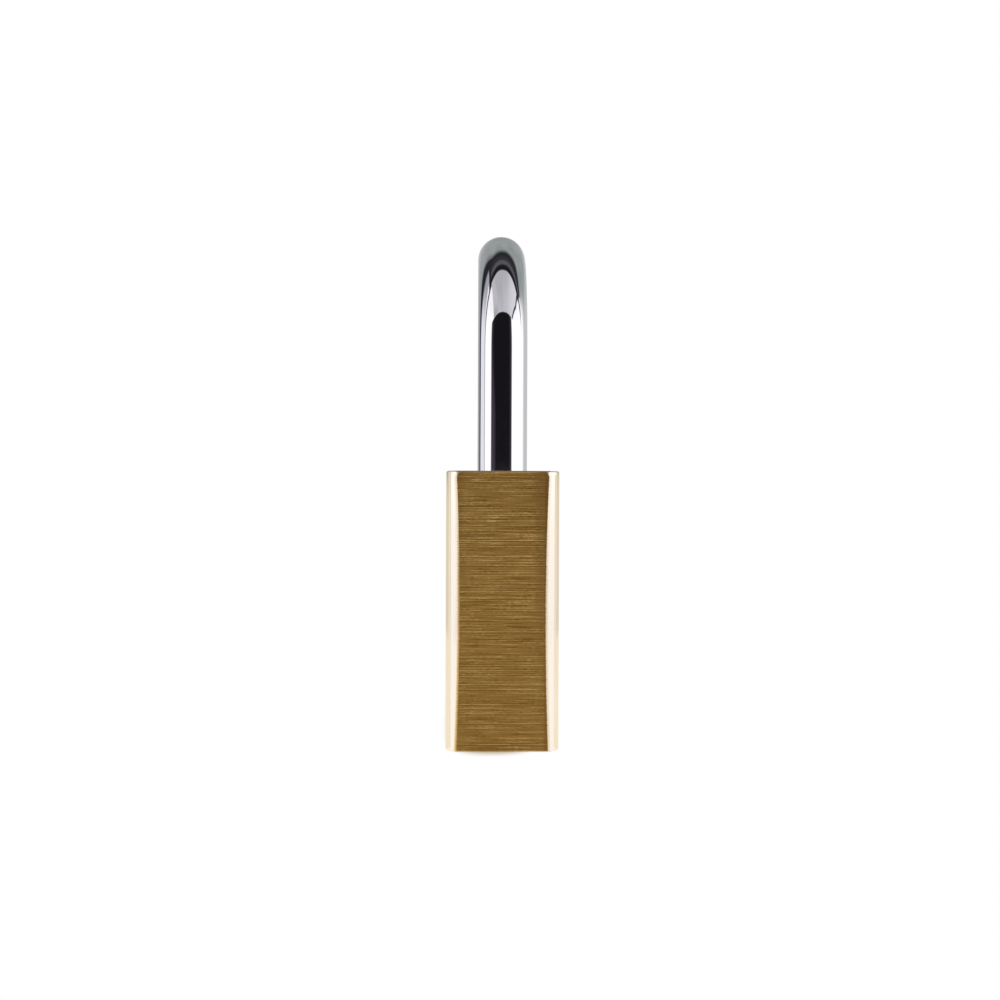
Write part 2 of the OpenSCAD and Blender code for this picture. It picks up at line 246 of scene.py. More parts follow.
def studio_corner(n, colour, grey, past, left, z):
    """The back wall and its dark left corner. past is how far a turn lies beyond the corner."""
    behind = n.ramp(past, *CORNER_SIDES)
    low = n.times(n.ramp(past, *BACK_LOW_PAST_CORNER), n.ramp(z, *BACK_LOW_HEIGHTS))
    colour = n.mix(n.times(behind, left), colour, n.mix(low, grey, BACK_LOW))
    high = n.ramp(z, *CORNER_HEIGHTS)
    width = n.ramp(z, *CORNER_HEIGHTS, *CORNER_WIDTHS)
    line = n.ramp(n.calc("DIVIDE", n.absolute(past), width), *CORNER_EDGE)
    shade_width = n.ramp(z, *CORNER_SHADE_HEIGHTS, *CORNER_SHADE_WIDTHS)
    shade = n.times(n.ramp(past, shade_width, 0.0), high)
    shade = n.times(n.times(shade, behind), CORNER_SHADE)
    return n.mix(n.times(n.larger(line, shade), left), colour, CORNER)


def studio_walls(n, turn, z, direction):
    """The white side walls, each with a leaning seam, and the grey back wall with its corner."""
    around = n.absolute(turn)
    right = n.ramp(turn, *LEFT_TO_RIGHT)
    left = n.minus(1.0, right)
    clouds = n.ramp(n.noise(direction, scale=2.5, detail=2.0), *BACK_CLOUDS)
    grey = n.mix(clouds, BACK, BACK_PALE)
    wall = n.mix(n.ramp(z, *WALL_HEIGHTS), WALL, WALL_HIGH)
    left_rear = n.mix(n.ramp(z, *LEFT_REAR_HEIGHTS), LEFT_REAR, LEFT_REAR_HIGH)
    colour = n.mix(n.times(left, n.ramp(around, *LEFT_REAR_TURNS)), wall, left_rear)
    right_rear = n.mix(n.ramp(z, *RIGHT_REAR_HEIGHTS), BACK_LOW, grey)
    colour = n.mix(n.times(right, n.ramp(around, *RIGHT_REAR_TURNS)), colour, right_rear)
    # How far a turn lies past each seam, left and right
    square = n.times(z, z)
    seams = [n.minus(at, n.times(square, slope)) for at, slope in zip(SEAM_TURNS, SEAM_SLOPES)]
    past_left, past_right = (n.minus(around, seam) for seam in seams)
    high = n.times(n.ramp(past_right, *RIGHT_HIGH_PAST_SEAM), n.ramp(z, *RIGHT_HIGH_HEIGHTS))
    colour = n.mix(n.times(right, high), colour, grey)
    past_corner = n.minus(n.plus(around, n.times(z, CORNER_SLOPE)), CORNER_TURN)
    colour = studio_corner(n, colour, grey, past_corner, left, z)
    left_line = n.times(n.ramp(n.absolute(past_left), *LEFT_SEAM_EDGE), left)
    left_line = n.times(left_line, n.ramp(z, *LEFT_SEAM_HEIGHTS, LEFT_SEAM_LOW, 1.0))
    right_line = n.times(n.ramp(n.absolute(past_right), *RIGHT_SEAM_EDGE), right)
    right_line = n.times(right_line, n.ramp(z, *RIGHT_SEAM_HEIGHTS))
    return n.mix(n.larger(left_line, right_line), colour, SEAM)


# The dark opening that the camera looks through, round OPENING_TURN. It ends just over the horizon,
# and its soft purple fringe is wider at lower left. The softness is half of an edge's width.
OPENING = (0.009, 0.008, 0.01)
OPENING_EDGE = (0.055, 0.042, 0.062)
OPENING_TURN = -6.3
OPENING_HALF = 48.9
OPENING_SOFT = 2.5
OPENING_TOP = 38
OPENING_TOP_SOFT = 0.8
OPENING_FOOT = math.sin(math.radians(0.7))
OPENING_FOOT_SOFT = 0.01
FRINGE = 15
FRINGE_WIDER = 12
FRINGE_WIDER_TURNS = (0, -20)
FRINGE_WIDER_HEIGHTS = (0.14, 0.06)


def studio_opening(n, colour, turn, over, z):
    """The dark opening that the camera looks through, with a soft purple edge."""
    aside = n.absolute(n.minus(turn, OPENING_TURN))
    wider = n.ramp(turn, *FRINGE_WIDER_TURNS, 0, FRINGE_WIDER)
    fringe = n.plus(aside, n.times(wider, n.ramp(z, *FRINGE_WIDER_HEIGHTS)))
    dark = n.mix(n.ramp(fringe, OPENING_HALF - FRINGE, OPENING_HALF), OPENING, OPENING_EDGE)
    inside = n.ramp(aside, OPENING_HALF + OPENING_SOFT, OPENING_HALF - OPENING_SOFT)
    under_top = n.ramp(over, OPENING_TOP + OPENING_TOP_SOFT, OPENING_TOP - OPENING_TOP_SOFT)
    over_foot = n.ramp(z, OPENING_FOOT - OPENING_FOOT_SOFT, OPENING_FOOT + OPENING_FOOT_SOFT)
    return n.mix(n.times(n.times(inside, under_top), over_foot), colour, dark)


# The pale canopy over the opening, of clouded cloth that is lighter on the right and has a fold's
# shade at its left foot. Its right side leans out from its foot up, and has a dark rim.
CANOPY = (0.56, 0.545, 0.58)
CANOPY_SHADE = (0.46, 0.455, 0.49)
CANOPY_LIGHT = (0.74, 0.73, 0.78)
CANOPY_LIGHT_LEANS = (5, 48)
CANOPY_LEANS = (-39, 50)
CANOPY_FOOT_LEAN = 38
CANOPY_FOOT_DEPTH = 26
CANOPY_END = 84
CANOPY_END_SOFT = 2.5
CANOPY_SIDE_SOFT = 1
CLOTH_CELLS = (0.03, 0.01)
CLOTH_SEED = 4.0
CLOTH_CLOUDS = (0.4, 0.62)
FOLD = 0.6
FOLD_LEANS = (-12, -30)
FOLD_OVERS = (OPENING_TOP + 16, OPENING_TOP)
RIM_WIDTH = 4
RIM_SIDE_SOFT = 2
RIM_END = CANOPY_END + 2
RIM_END_SOFT = 3


def studio_canopy(n, colour, over, lean):
    """A pale canopy in front, with a dark rim on its right."""
    side = n.scaled(over, OPENING_TOP, OPENING_TOP + CANOPY_FOOT_DEPTH,
                    CANOPY_FOOT_LEAN, CANOPY_LEANS[1])
    beside = n.minus(lean, n.smaller(side, CANOPY_LEANS[1]))
    from_left = n.ramp(lean, CANOPY_LEANS[0] - CANOPY_SIDE_SOFT, CANOPY_LEANS[0] + CANOPY_SIDE_SOFT)
    inside = n.times(from_left, n.ramp(beside, CANOPY_SIDE_SOFT, -CANOPY_SIDE_SOFT))
    inside = n.times(inside, n.band(over, OPENING_TOP, CANOPY_END, CANOPY_END_SOFT))
    cell = n.vector(n.times(lean, CLOTH_CELLS[0]), n.times(over, CLOTH_CELLS[1]), CLOTH_SEED)
    cloth = n.ramp(n.noise(cell, detail=1.0), *CLOTH_CLOUDS)
    canopy = n.mix(cloth, CANOPY, CANOPY_SHADE)
    canopy = n.mix(n.ramp(lean, *CANOPY_LIGHT_LEANS), canopy, CANOPY_LIGHT)
    fold = n.times(n.ramp(lean, *FOLD_LEANS), n.ramp(over, *FOLD_OVERS, 0.0, FOLD))
    colour = n.mix(inside, colour, n.mix(fold, canopy, BACK))
    rim = n.band(beside, 0, RIM_WIDTH, RIM_SIDE_SOFT)
    rim = n.times(rim, n.band(over, OPENING_TOP, RIM_END, RIM_END_SOFT))
    return n.mix(rim, colour, SEAM)


# The dark gap behind the canopy. It narrows to the left, and its far edge comes forward on the
# right, past GAP_BEND_LEAN. It is darkest along its edges, with a paler streak between them. A
# depth is measured forward from the far edge, and a side in from the slanting left edge.
GAP = (0.036, 0.037, 0.042)
GAP_DARK = (0.022, 0.022, 0.026)
GAP_EDGE = (0.012, 0.011, 0.014)
GAP_STREAK = (0.1, 0.097, 0.11)
GAP_LEANS = (-50, 57)
GAP_SKEW = 0.5
GAP_END = 112
GAP_BEND_LEAN = 35
GAP_BEND = 0.35
GAP_NEAR_OVERS = (CANOPY_END - 1.5, CANOPY_END + 1)
GAP_FAR_DEPTHS = (-7, 3)
GAP_LEFT_SIDES = (-1.5, 1.5)
GAP_RIGHT_LEANS = (GAP_LEANS[1] + 1, GAP_LEANS[1] - 1)
EDGE_OVERS = (CANOPY_END + 5, CANOPY_END + 9)
MIDDLE_DEPTHS = (3, 12)
MIDDLE_SIDES = (4, 9)
STREAK_OVERS = (CANOPY_END + 8, CANOPY_END + 14)
STREAK_SOFT = 3
STREAK_SIDES = (5, 14)


def studio_gap(n, colour, over, lean):
    """A dark gap behind the canopy."""
    side = n.plus(lean, n.times(n.minus(GAP_END, over), GAP_SKEW))
    side = n.minus(side, GAP_LEANS[0] + (GAP_END - CANOPY_END) * GAP_SKEW)
    bend = n.times(n.larger(n.minus(lean, GAP_BEND_LEAN), 0.0), GAP_BEND)
    depth = n.minus(n.minus(GAP_END, bend), over)
    gap = n.times(n.ramp(over, *GAP_NEAR_OVERS), n.ramp(depth, *GAP_FAR_DEPTHS))
    gap = n.times(gap, n.ramp(side, *GAP_LEFT_SIDES))
    gap = n.times(gap, n.ramp(lean, *GAP_RIGHT_LEANS))
    middle = n.times(n.ramp(depth, *MIDDLE_DEPTHS), n.ramp(side, *MIDDLE_SIDES))
    inner = n.mix(middle, GAP_DARK, GAP)
    dark = n.mix(n.ramp(over, *EDGE_OVERS), GAP_EDGE, inner)
    streak = n.times(n.band(over, *STREAK_OVERS, STREAK_SOFT), n.ramp(side, *STREAK_SIDES))
    return n.mix(gap, colour, n.mix(streak, dark, GAP_STREAK))


# What lies under the horizon, which rises by FOOT_RISE towards the rear. It is white as the floor
# down to FOOT_HEIGHTS, a little greyer at the rear, and from there down it is grey, with the
# opening's two sides as dark jambs.
HORIZON_HEIGHTS = (0.004, -0.004)
FOOT_HEIGHTS = (-0.115, -0.14)
FOOT_REAR = (0.8, 0.8, 0.82)
FOOT_REAR_TURNS = (100, 125)
FOOT_RISE = 0.022
BELOW = (0.84, 0.84, 0.86)
BELOW_DEEP = (0.5, 0.5, 0.52)
BELOW_HEIGHTS = (FOOT_HEIGHTS[1], -0.5)
BELOW_BACK = (0.4, 0.41, 0.42)
BELOW_BACK_TURNS = (124, 140)
BELOW_JAMB = (0.15, 0.148, 0.16)
JAMB_WIDTH = 17
JAMB_SOFT = 8


def studio_foot(n, turn, z):
    """White under the horizon, as the floor is, and grey further down."""
    around = n.absolute(turn)
    aside = n.absolute(n.minus(turn, OPENING_TURN))
    below = n.mix(n.ramp(z, *BELOW_HEIGHTS), BELOW, BELOW_DEEP)
    below = n.mix(n.ramp(around, *BELOW_BACK_TURNS), below, BELOW_BACK)
    jambs = n.band(aside, OPENING_HALF - JAMB_WIDTH, OPENING_HALF, JAMB_SOFT)
    below = n.mix(jambs, below, BELOW_JAMB)
    foot = n.mix(n.ramp(around, *FOOT_REAR_TURNS), WHITE, FOOT_REAR)
    return n.mix(n.ramp(z, *FOOT_HEIGHTS), foot, below)


def studio_colour(n, direction):
    """What a direction from the object sees of the studio's panels."""
    x, y, z = n.parts(direction)
    turn = n.degrees(n.calc("ARCTAN2", y, x))
    over = n.degrees(n.calc("ARCTAN2", z, x))
    lean = n.degrees(n.calc("ARCSINE", y))
    colour = studio_walls(n, turn, z, direction)
    colour = studio_canopy(n, colour, over, lean)
    colour = studio_gap(n, colour, over, lean)
    colour = studio_opening(n, colour, turn, over, z)
    rise = n.ramp(n.absolute(turn), *FOOT_REAR_TURNS, 0.0, FOOT_RISE)
    under = n.ramp(n.minus(z, rise), *HORIZON_HEIGHTS)
    return n.mix(under, colour, studio_foot(n, turn, z))


def make_world():
    """The studio round the object, and plain white where the camera looks past it."""
    world = bpy.data.worlds.new("studio")
    bpy.context.scene.world = world
    world.use_nodes = True
    n = Nodes(world.node_tree)
    direction = n.add("ShaderNodeTexCoord").outputs["Generated"]
    path = n.add("ShaderNodeLightPath")
    seen = path.outputs["Is Camera Ray"]
    colour = n.mix(seen, studio_colour(n, direction), WHITE)
    background = n.add("ShaderNodeBackground", {"Color": colour})
    n.add("ShaderNodeOutputWorld", {"Surface": background.outputs[0]})


# The round white floor, in millimetres. The studio goes on below it.
FLOOR_R = 120
FLOOR_SIDES = 96
FLOOR_Z = -0.02
FLOOR_PAINT = (0.85, 0.85, 0.85)

# The contact shadow on the floor, in millimetres: how far it reaches from the origin along X and
# Y, how far it leans to the left at the narrow faces, and how near to the body it starts. Along the
# wide faces its strength is CONTACT_SIDES, and it grows to 1 at the narrow faces. CONTACT_SQUARES
# says where, as squares of shares of the reach along X, and the second is at the narrow faces.
CONTACT = (0.55, 0.46, 0.33)
CONTACT_REACH = (25.2, 8.4)
CONTACT_LEAN = 1.2
CONTACT_DEPTH = 4
CONTACT_SAMPLES = 16
CONTACT_RIM = (1.0, 0.55)
CONTACT_OPEN = (0.98, 0.45)
CONTACT_SIDES = 0.35
CONTACT_SQUARES = (0.1, 0.63)


def millimetres(n):
    """Places in the part's frame, in millimetres."""
    frame_place = n.add("ShaderNodeTexCoord").outputs["Object"]
    return n.add("ShaderNodeVectorMath", {0: frame_place, "Scale": 1 / MM},
                 operation="SCALE").outputs[0]


def floor_colour(n, place):
    """White, with a faint contact shadow that ends short of the body's corners."""
    x, y, _ = n.parts(place)
    near = n.add("ShaderNodeAmbientOcclusion", {"Distance": CONTACT_DEPTH * MM},
                 samples=CONTACT_SAMPLES)
    across = n.times(x, 1 / CONTACT_REACH[0])
    across = n.times(across, across)
    leaning = n.plus(y, n.times(across, CONTACT_LEAN / CONTACT_SQUARES[1]))
    along = n.times(leaning, 1 / CONTACT_REACH[1])
    reach = n.plus(across, n.times(along, along))
    shade = n.times(n.ramp(reach, *CONTACT_RIM), n.ramp(near.outputs["AO"], *CONTACT_OPEN))
    shade = n.times(shade, n.ramp(across, *CONTACT_SQUARES, CONTACT_SIDES, 1.0))
    return n.mix(shade, WHITE, CONTACT)


def make_floor():
    """A plain pale floor. The camera and the mirrors see it as white."""
    mesh = bpy.data.meshes.new("floor")
    rim = [2 * math.pi * step / FLOOR_SIDES for step in range(FLOOR_SIDES)]
    rim = [(FLOOR_R * math.cos(a) * MM, FLOOR_R * math.sin(a) * MM, FLOOR_Z * MM) for a in rim]
    mesh.from_pydata(rim, [], [range(FLOOR_SIDES)])
    floor = bpy.data.objects.new("floor", mesh)
    bpy.context.scene.collection.objects.link(floor)
    material = bpy.data.materials.new("floor_white")
    material.use_nodes = True
    n = Nodes(material.node_tree)
    path = n.add("ShaderNodeLightPath")
    seen = n.larger(path.outputs["Is Camera Ray"], path.outputs["Is Glossy Ray"])
    seen = n.larger(seen, path.outputs["Is Transmission Ray"])
    white = n.add("ShaderNodeEmission", {"Color": floor_colour(n, millimetres(n))})
    paint = n.add("ShaderNodeBsdfDiffuse", {"Color": FLOOR_PAINT})
    both = n.add("ShaderNodeMixShader", {0: seen, 1: paint.outputs[0], 2: white.outputs[0]})
    n.add("ShaderNodeOutputMaterial", {"Surface": both.outputs[0]})
    mesh.materials.append(material)


# A finish is a function of a place in millimetres and a normal. It gives a colour, a roughness and
# a height in millimetres. Two roughnesses belong to the ends of NOISE_RANGE, and DEPTH is how deep
# a finish's marks are.

# Tool marks drift a little from a straight line: the drift in millimetres, its cells per millimetre
# along and across the marks, and what it adds to their seed
DRIFT = 0.06
DRIFT_CELLS = (0.08, 0.3)
DRIFT_SEED = 20


def metal(name, finish):
    """A procedural metal with that finish."""
    material = bpy.data.materials.new(name)
    material.use_nodes = True
    n = Nodes(material.node_tree)
    normal = n.add("ShaderNodeTexCoord").outputs["Normal"]
    colour, roughness, height = finish(n, millimetres(n), normal)
    bump = n.add("ShaderNodeBump", {"Strength": 1.0, "Distance": MM, "Height": height})
    shader = n.add("ShaderNodeBsdfPrincipled", {
        "Base Color": colour, "Metallic": 1.0, "Roughness": roughness,
        "Normal": bump.outputs[0]})
    n.add("ShaderNodeOutputMaterial", {"Surface": shader.outputs[0]})
    return material


def laid_over(n, share, below, above):
    """One finish laid over another where share is 1."""
    return (n.mix(share, below[0], above[0]), n.blend(share, below[1], above[1]),
            n.blend(share, below[2], above[2]))


def marks(n, across, along, fine, length, seed):
    """Tool marks that are nearly straight: how many cells per mm across, and how long, in mm."""
    drift_place = n.vector(n.times(along, DRIFT_CELLS[0]), n.times(across, DRIFT_CELLS[1]),
                           seed + DRIFT_SEED)
    bent = n.plus(across, n.times(n.noise(drift_place, detail=1.0), DRIFT))
    return n.noise(n.vector(n.times(along, 1 / length), n.times(bent, fine), seed), detail=1.0)


# Sizes of the body that its finish follows, in millimetres
BODY_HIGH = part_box("body")[1] / MM
BODY_H = BODY_HIGH.z
FACE_X = BODY_HIGH.x
BODY_HALF_T = BODY_HIGH.y

# The sanded brass, and what its tone is made of: long marks, short ones and dots, stronger in some
# patches than in others, and faint bands
SANDED_DARK = (0.262, 0.138, 0.031)
SANDED = (0.465, 0.266, 0.07)
SANDED_PALE = (0.79, 0.555, 0.21)
SANDED_TONES = (-0.08, 0.0)
SANDED_PALE_TONES = (0.01, 0.1)
SANDED_ROUGH = (0.64, 0.56)
SANDED_DEPTH = 0.003
SANDED_SHARES = (0.5, 0.3, 0.2)
BANDS_SHARE = 0.1
BANDS_CELLS = (0.06, 0.9)
PATCH_CELLS = (0.35, 0.7)
PATCH_NOISE = (0.3, 0.6)
PATCH_CONTRAST = (1.2, 0.65)
SCRATCH_NOISE = (0.67, 0.72)
SCRATCH_SHARE = 0.75

# Where the sanding darkens, in millimetres: towards both sides, which a cloud makes uneven and
# which lie to the left of the middle by SIDES_SHIFT, most of all at the right edge, and downwards,
# as painted shade that offsets the white floor's reflection
SIDES = (4.6, 6.6)
SIDES_SHIFT = 0.6
SIDES_CLOUD = 2.0
SIDES_DARK = 0.5
RIGHT_EDGE = (4.7, 5.3)
RIGHT_EDGE_DARK = 0.8
SANDED_FOOT_PAINTED_SHADE = 0.42


def sanded_brass(n, place):
    """Brass sanded along Y, with crisp pale scratches, darker towards its sides, and with painted
    shade downwards.
    """
    x, y, z = n.parts(place)
    long_marks = marks(n, z, y, fine=6.5, length=60.0, seed=1.0)
    short_marks = marks(n, z, y, fine=7.5, length=4.5, seed=2.0)
    dots = marks(n, z, y, fine=8.0, length=0.5, seed=3.0)
    bands_place = n.vector(x, n.times(y, BANDS_CELLS[0]), n.times(z, BANDS_CELLS[1]))
    bands = n.noise(bands_place, detail=2.0)
    patch_place = n.vector(x, n.times(y, PATCH_CELLS[0]), n.times(z, PATCH_CELLS[1]))
    patches = n.noise(patch_place, detail=1.0)
    tone = n.minus(n.weighted((long_marks, short_marks, dots), SANDED_SHARES), NOISE_MEAN)
    tone = n.times(tone, n.ramp(patches, *PATCH_NOISE, *PATCH_CONTRAST))
    tone = n.plus(tone, n.times(n.minus(bands, NOISE_MEAN), BANDS_SHARE))
    colour = n.mix(n.ramp(tone, *SANDED_TONES), SANDED_DARK, SANDED)
    colour = n.mix(n.ramp(tone, *SANDED_PALE_TONES), colour, SANDED_PALE)
    scratches = n.ramp(marks(n, z, y, fine=7.0, length=22.0, seed=4.0), *SCRATCH_NOISE)
    colour = n.mix(n.times(scratches, SCRATCH_SHARE), colour, SANDED_PALE)
    cloud = n.noise(place, scale=0.25, detail=2.0)
    aside = n.plus(n.absolute(n.plus(y, SIDES_SHIFT)), n.times(cloud, SIDES_CLOUD))
    edge = n.larger(n.ramp(aside, *SIDES, 0.0, SIDES_DARK),
                    n.ramp(y, *RIGHT_EDGE, 0.0, RIGHT_EDGE_DARK))
    # Darker downwards: painted shade against the white floor's reflection
    low = n.ramp(z, BODY_H, 0.0, 0.0, SANDED_FOOT_PAINTED_SHADE)
    colour = n.mix(n.larger(edge, low), colour, SANDED_DARK)
    roughness = n.scaled(short_marks, *NOISE_RANGE, *SANDED_ROUGH)
    return colour, roughness, n.times(long_marks, SANDED_DEPTH)


# The satin brass of the wide faces. Its tone is made of long marks and short ones.
SATIN = (0.80, 0.61, 0.31)
SATIN_PALE = (0.9, 0.71, 0.4)
SATIN_TONES = (0.38, 0.62)
SATIN_CLOUD = (0.74, 0.55, 0.28)
SATIN_CLOUD_NOISE = (0.5, 0.75)
SATIN_CLOUD_SHARE = 0.3
SATIN_SHARES = (0.6, 0.4)
SATIN_ROUGH = (0.27, 0.19)
SATIN_DEPTH = 0.003


def satin_brass(n, place):
    """The wide faces, with fine upright marks."""
    x, _, z = n.parts(place)
    upright = marks(n, x, z, fine=11.0, length=30.0, seed=4.0)
    short = marks(n, x, z, fine=7.0, length=6.0, seed=7.0)
    cloud = n.ramp(n.noise(place, scale=0.14, detail=3.0), *SATIN_CLOUD_NOISE)
    tone = n.weighted((upright, short), SATIN_SHARES)
    colour = n.mix(n.ramp(tone, *SATIN_TONES), SATIN, SATIN_PALE)
    colour = n.mix(n.times(cloud, SATIN_CLOUD_SHARE), colour, SATIN_CLOUD)
    roughness = n.scaled(tone, *NOISE_RANGE, *SATIN_ROUGH)
    return colour, roughness, n.times(upright, SATIN_DEPTH)


# The polished upright edges. Their colour changes with the normal's part along Y, which is 1 on
# the wide faces, and their palest colour, towards the narrow faces, is a painted highlight. The
# cells of the grain are per millimetre, across the edges and along them.
POLISHED_HIGHLIGHT = (0.99, 0.91, 0.8)
POLISHED = (0.91, 0.75, 0.52)
POLISHED_WIDE = (0.92, 0.76, 0.52)
POLISHED_FROM_HIGHLIGHT = (0.70, 0.84)
POLISHED_TO_WIDE = (0.9, 0.97)
POLISHED_UNEVEN = 0.1
POLISHED_CELLS = (3.0, 0.2)
POLISHED_ROUGH = (0.1, 0.14)
POLISHED_DEPTH = 0.0006


def polished_brass(n, place, front, roll):
    """The rounded upright corners, with a painted highlight where they turn towards the narrow
    faces.
    front is the normal's part along Y, and roll is the height that rolling off gives a place."""
    x, y, z = n.parts(place)
    cells, long_cells = POLISHED_CELLS
    grain = n.vector(n.times(x, cells), n.times(y, cells), n.times(z, long_cells))
    fine = n.noise(grain, detail=2.0)
    tone = n.plus(front, n.times(n.minus(fine, NOISE_MEAN), POLISHED_UNEVEN))
    # The pale colour towards the narrow faces is a painted highlight
    colour = n.mix(n.ramp(tone, *POLISHED_FROM_HIGHLIGHT), POLISHED_HIGHLIGHT, POLISHED)
    colour = n.mix(n.ramp(tone, *POLISHED_TO_WIDE), colour, POLISHED_WIDE)
    roughness = n.scaled(fine, *NOISE_RANGE, *POLISHED_ROUGH)
    return colour, roughness, n.plus(roll, n.times(fine, POLISHED_DEPTH))


# The milled top and base
MILLED = (0.62, 0.45, 0.2)
MILLED_PALE = (0.84, 0.66, 0.36)
MILLED_ROUGH = (0.36, 0.3)
MILLED_DEPTH = 0.006


def milled_brass(n, place):
    """The top and the base, milled lengthwise."""
    x, y, _ = n.parts(place)
    lines = marks(n, y, x, fine=4.0, length=12.0, seed=5.0)
    colour = n.mix(n.ramp(lines, *NOISE_RANGE), MILLED, MILLED_PALE)
    roughness = n.scaled(lines, *NOISE_RANGE, *MILLED_ROUGH)
    return colour, roughness, n.times(lines, MILLED_DEPTH)


# The sanded zone of the narrow faces, in millimetres. Half of its width is a little less in the
# middle than at its ends. Its line is ragged, and bends in just under the top.
FACE_HALF_MID = 5.285
FACE_HALF_TOP = 5.73
FACE_HALF_LOW = 5.63
LINE_RAGGED = 0.2
LINE_SOFT = 0.03
LINE_BEND = 0.3
LINE_BEND_ZS = (BODY_H - 0.8, BODY_H - 0.2)
FACE_XS = (FACE_X - 0.6, FACE_X - 0.4)

# Next to that line the polish rolls the edges off by ROLL_SLOPE, over ROLL_WIDTH
ROLL_WIDTH = 0.35
ROLL_SLOPE = 0.2

# Grit dragged past that line. Its colour changes over DRAG_WIDTH, it fades out at DRAG_FADE, and it
# is weaker on the right and near the top.
DRAGGED_NEAR = (0.52, 0.32, 0.1)
DRAGGED_FAR = (0.9, 0.67, 0.38)
DRAGGED_ROUGH = 0.3
DRAG_WIDTH = 0.34
DRAG_FADE = (0.42, 0.2)
DRAG_RIGHT = 0.5
DRAG_RIGHT_YS = (0.5, -0.5)
DRAG_TOP = 0.5
DRAG_TOP_ZS = (BODY_H - 5, BODY_H - 15)

# Where a finish changes with the way that the surface faces, as the normal's part along Y or Z:
# from the wide faces to the polished edges, onto and off the broken edges, and to the flat ends
WIDE_FACE = (0.995, 0.975)
EDGE_HIGHLIGHT_START = (0.3, 0.45)
EDGE_HIGHLIGHT_END = (0.98, 0.9)
EDGE_HIGHLIGHT_UNEVEN = 0.1
FLAT_END = (0.93, 0.97)

# The broken edges, with a painted highlight: lighter over the narrow faces, and palest round the
# corners and over the wide faces, where the normal's part along X is less
EDGE_HIGHLIGHT_FACE = (0.76, 0.54, 0.33)
EDGE_HIGHLIGHT_FACE_ROUGH = 0.45
EDGE_HIGHLIGHT_CORNER = (1.0, 0.93, 0.82)
EDGE_HIGHLIGHT_CORNER_ROUGH = 0.9
EDGE_HIGHLIGHT_TO_CORNER = (0.66, 0.6)

# The dull bores, which start at BORE_UNDER, in millimetres under the body's outside
BORE = (0.36, 0.22, 0.09)
BORE_PALE = (0.46, 0.3, 0.13)
BORE_NOISE = (0.35, 0.65)
BORE_ROUGH = 0.45
BORE_DEPTH = 0.01
BORE_UNDER = (0.45, 0.9)


def past_sanding(n, y, z):
    """How far a place lies past the sanding: its smooth hourglass line, and the ragged one."""
    middle = n.scaled(z, 0.0, BODY_H, -1.0, 1.0)
    end_half = n.scaled(z, 0.0, BODY_H, FACE_HALF_LOW, FACE_HALF_TOP)
    half = n.blend(n.times(middle, middle), FACE_HALF_MID, end_half)
    outside = n.minus(n.absolute(y), half)
    ragged = marks(n, z, y, fine=8.0, length=2.0, seed=6.0)
    past = n.plus(outside, n.times(n.minus(ragged, NOISE_MEAN), LINE_RAGGED))
    return outside, n.plus(past, n.ramp(z, *LINE_BEND_ZS, 0.0, LINE_BEND))


def dragged_grit(n, y, z, past, roll):
    """Where grit is dragged past the sanding, and its finish."""
    share = n.times(n.ramp(past, *DRAG_FADE), n.ramp(y, *DRAG_RIGHT_YS, DRAG_RIGHT, 1.0))
    share = n.times(share, n.ramp(z, *DRAG_TOP_ZS, DRAG_TOP, 1.0))
    colour = n.mix(n.ramp(past, 0.0, DRAG_WIDTH), DRAGGED_NEAR, DRAGGED_FAR)
    return share, (colour, DRAGGED_ROUGH, roll)


def body_sides(n, place, front):
    """The satin wide faces, the polished upright edges and the sanded narrow faces."""
    x, y, z = n.parts(place)
    outside, past = past_sanding(n, y, z)
    roll = n.times(n.smaller(n.larger(outside, 0.0), ROLL_WIDTH), -ROLL_SLOPE)
    polished = polished_brass(n, place, front, roll)
    finish = laid_over(n, n.ramp(front, *WIDE_FACE), satin_brass(n, place), polished)
    face = n.ramp(n.absolute(x), *FACE_XS)
    drag, dragged = dragged_grit(n, y, z, past, roll)
    finish = laid_over(n, n.times(drag, face), finish, dragged)
    sanded = n.times(n.ramp(past, LINE_SOFT, -LINE_SOFT), face)
    return laid_over(n, sanded, finish, sanded_brass(n, place))


def body_finish(n, place, normal):
    """The drilled block: each zone of it is finished in its own way."""
    x, y, z = n.parts(place)
    side, front, end = (n.absolute(part) for part in n.parts(normal))
    fine = n.noise(place, scale=1.5, detail=2.0)
    finish = body_sides(n, place, front)
    # Broken edges painted lighter as a highlight, and milled ends
    uneven_end = n.plus(end, n.times(fine, EDGE_HIGHLIGHT_UNEVEN))
    # Paler broken edges: a painted highlight
    edge_highlight = n.times(n.ramp(end, *EDGE_HIGHLIGHT_START), n.ramp(uneven_end, *EDGE_HIGHLIGHT_END))
    corner = n.ramp(side, *EDGE_HIGHLIGHT_TO_CORNER)
    edge_colour = n.mix(corner, EDGE_HIGHLIGHT_FACE, EDGE_HIGHLIGHT_CORNER)
    edge_roughness = n.blend(corner, EDGE_HIGHLIGHT_FACE_ROUGH, EDGE_HIGHLIGHT_CORNER_ROUGH)
    finish = laid_over(n, edge_highlight, finish, (edge_colour, edge_roughness, 0.0))
    finish = laid_over(n, n.ramp(end, *FLAT_END), finish, milled_brass(n, place))
    # Dull, darker bores, which are everything deeper under the body's outside
    deep = n.smaller(n.minus(FACE_X, n.absolute(x)), n.minus(BODY_HALF_T, n.absolute(y)))
    deep = n.smaller(deep, n.smaller(z, n.minus(BODY_H, z)))
    dull = n.mix(n.ramp(fine, *BORE_NOISE), BORE, BORE_PALE)
    bore = (dull, BORE_ROUGH, n.times(fine, BORE_DEPTH))
    return laid_over(n, n.ramp(deep, *BORE_UNDER), finish, bore)


